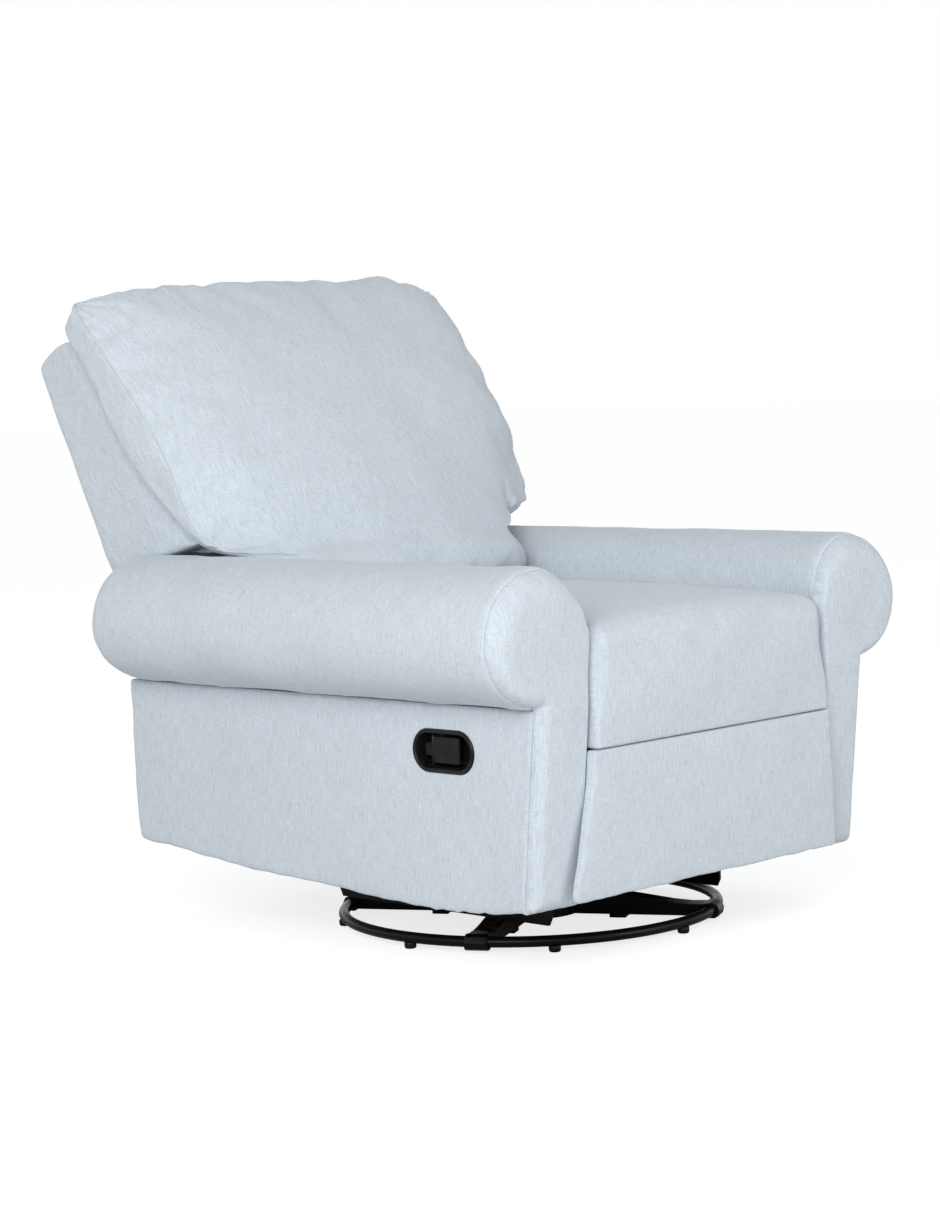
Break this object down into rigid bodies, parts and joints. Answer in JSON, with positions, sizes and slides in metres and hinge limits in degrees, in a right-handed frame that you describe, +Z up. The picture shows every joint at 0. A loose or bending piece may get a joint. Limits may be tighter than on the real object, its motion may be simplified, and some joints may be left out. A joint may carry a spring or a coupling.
{
  "type": "glider recliner chair",
  "caption": "Upholstered swivel glider recliner with rolled arms, a T-shaped back pillow, a lever-released footrest and a round steel floor ring.",
  "frame": {"origin": "on the floor, at the centre of the chair's footprint with the chair upright, level and closed; the swivel axis is 167.5 mm in front of it", "axes": "+Z up, -Y the way the sitter faces, +X the sitter's left"},
  "size_m": [0.94, 1.145, 1.0416],
  "materials": {
    "linen": "cool off-white linen-look weave with fine upright slubs",
    "foam": "cream upholstery foam",
    "plywood": "bare plywood and softwood",
    "black_steel": "black gloss paint",
    "zinc_steel": "zinc-plated steel",
    "spring_steel": "drawn spring wire",
    "black_plastic": "black glossy moulding"
  },
  "bodies": {
    "base": {"base_ring": "black_steel", "base_cross": "black_steel", "floor_glide_1": "black_plastic", "floor_glide_2": "black_plastic", "floor_glide_3": "black_plastic", "floor_glide_4": "black_plastic", "floor_glide_5": "black_plastic", "floor_glide_6": "black_plastic", "floor_glide_7": "black_plastic", "floor_glide_8": "black_plastic", "swivel_lower_race": "zinc_steel", "pivot_bolt": "zinc_steel"},
    "turning_frame": {"swivel_upper_race": "zinc_steel", "turntable_plate": "black_steel", "glide_crossbar_front": "black_steel", "glide_crossbar_rear": "black_steel", "glide_bracket_left": "black_steel", "glide_bracket_right": "black_steel"},
    "front_left_link": {"swing_link_front_left": "zinc_steel"},
    "front_right_link": {"swing_link_front_right": "zinc_steel"},
    "rear_left_link": {"swing_link_rear_left": "zinc_steel"},
    "rear_right_link": {"swing_link_rear_right": "zinc_steel"},
    "carriage": {"carriage_rail_left": "black_steel", "carriage_rail_right": "black_steel", "carriage_tube_front": "black_steel", "carriage_tube_rear": "black_steel", "mechanism_plate_left": "zinc_steel", "mechanism_plate_right": "zinc_steel", "arm_frame_left": "plywood", "arm_frame_right": "plywood", "side_panel_left": "linen", "side_panel_right": "linen", "arm_roll_left": "linen", "arm_roll_right": "linen", "arm_front_left": "linen", "arm_front_right": "linen", "seat_cushion": "linen", "seat_front_rail": "plywood", "seat_rear_rail": "plywood", "seat_springs": "spring_steel", "rear_panel": "linen", "lever_cup": "black_plastic", "release_cable": "black_plastic"},
    "footrest_lower": {"footrest_lower_link_left": "zinc_steel", "footrest_lower_link_right": "zinc_steel", "footrest_torque_tube": "black_steel"},
    "footrest_upper": {"footrest_upper_link_left": "zinc_steel", "footrest_upper_link_right": "zinc_steel"},
    "ottoman": {"ottoman_board": "plywood", "ottoman_pad": "linen", "ottoman_bracket_left": "zinc_steel", "ottoman_bracket_right": "zinc_steel"},
    "back": {"back_cover": "linen", "back_frame": "plywood", "back_foam": "foam", "back_pillow": "linen", "back_bracket_left": "zinc_steel", "back_bracket_right": "zinc_steel"},
    "paddle": {"release_paddle": "black_plastic"}
  },
  "joints": [
    {"name": "swivel", "type": "hinge", "parent": "base", "child": "turning_frame", "pos_m": [0, -0.1675, 0], "axis": [0, 0, 1], "continuous": true},
    {"name": "glide", "type": "hinge", "parent": "turning_frame", "child": "rear_left_link", "pos_m": [0.2065, -0.0825, 0.22], "axis": [1, 0, 0], "range_deg": [-30, 30]},
    {"name": "glide_front_right", "type": "hinge", "parent": "turning_frame", "child": "front_right_link", "pos_m": [-0.2065, -0.2525, 0.22], "axis": [1, 0, 0], "range_deg": [-30, 30]},
    {"name": "glide_front_left", "type": "hinge", "parent": "turning_frame", "child": "front_left_link", "pos_m": [0.2065, -0.2525, 0.22], "axis": [1, 0, 0], "range_deg": [-30, 30]},
    {"name": "glide_rear_right", "type": "hinge", "parent": "turning_frame", "child": "rear_right_link", "pos_m": [-0.2065, -0.0825, 0.22], "axis": [1, 0, 0], "range_deg": [-30, 30]},
    {"name": "carriage_level", "type": "hinge", "parent": "rear_left_link", "child": "carriage", "pos_m": [0.2065, -0.0825, 0.115], "axis": [1, 0, 0], "range_deg": [-30, 30]},
    {"name": "footrest", "type": "hinge", "parent": "carriage", "child": "footrest_lower", "pos_m": [0, -0.2275, 0.3], "axis": [-1, 0, 0], "range_deg": [0, 45.3]},
    {"name": "footrest_knee", "type": "hinge", "parent": "footrest_lower", "child": "footrest_upper", "pos_m": [0, -0.35219, 0.10673], "axis": [-1, 0, 0], "range_deg": [-75.2, 0]},
    {"name": "footrest_board", "type": "hinge", "parent": "footrest_upper", "child": "ottoman", "pos_m": [0, -0.49753, 0.285], "axis": [-1, 0, 0], "range_deg": [0, 119.8]},
    {"name": "back_recline", "type": "hinge", "parent": "carriage", "child": "back", "pos_m": [0, 0.2325, 0.33], "axis": [-1, 0, 0], "range_deg": [0, 26]},
    {"name": "release_lever", "type": "hinge", "parent": "carriage", "child": "paddle", "pos_m": [-0.366, -0.3275, 0.325], "axis": [0, 0, -1], "range_deg": [0, 35], "stiffness_Nm_per_rad": 0.2}
  ],
  "couplings": [
    {"joint": "glide_front_right", "follows": "glide", "ratio": 1},
    {"joint": "glide_front_left", "follows": "glide", "ratio": 1},
    {"joint": "glide_rear_right", "follows": "glide", "ratio": 1},
    {"joint": "carriage_level", "follows": "glide", "ratio": -1},
    {"joint": "footrest_knee", "follows": "footrest", "ratio": -1.6593},
    {"joint": "footrest_board", "follows": "footrest", "ratio": 2.6431}
  ]
}
